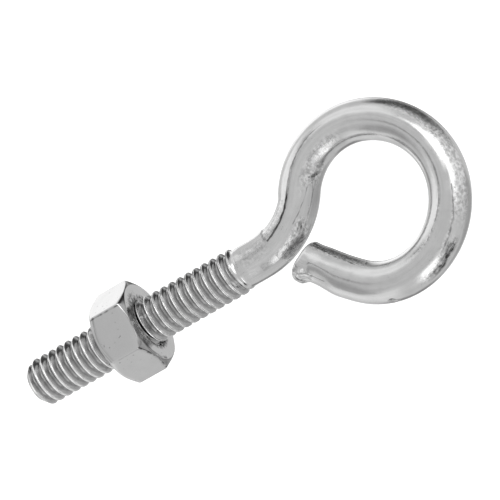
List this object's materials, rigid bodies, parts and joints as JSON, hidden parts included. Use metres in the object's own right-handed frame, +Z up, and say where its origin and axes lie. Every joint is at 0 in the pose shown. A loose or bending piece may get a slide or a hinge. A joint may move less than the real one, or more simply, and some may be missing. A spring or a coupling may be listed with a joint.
{
  "type": "eye bolt",
  "caption": "Turned eye bolt bent from threaded steel rod, with an open round eye and a hex nut that travels along its thread.",
  "frame": {"origin": "centre of the flat tip of the shank, at the threaded end", "axes": "+Z up the shank from the tip towards the eye; the eye lies in the XZ plane with its free end on the +X side; +Y through the eye"},
  "size_m": [0.0262, 0.0116, 0.0649],
  "materials": {
    "bolt_zinc": "bright zinc plating, satin",
    "nut_zinc": "bright zinc plating"
  },
  "bodies": {
    "bolt": {"eye_bolt": "bolt_zinc"},
    "nut": {"hex_nut": "nut_zinc"}
  },
  "joints": [
    {"name": "nut_travel", "type": "slide", "parent": "bolt", "child": "nut", "axis": [0, 0, 1], "range_m": [-0.01016, 0.0127]}
  ]
}
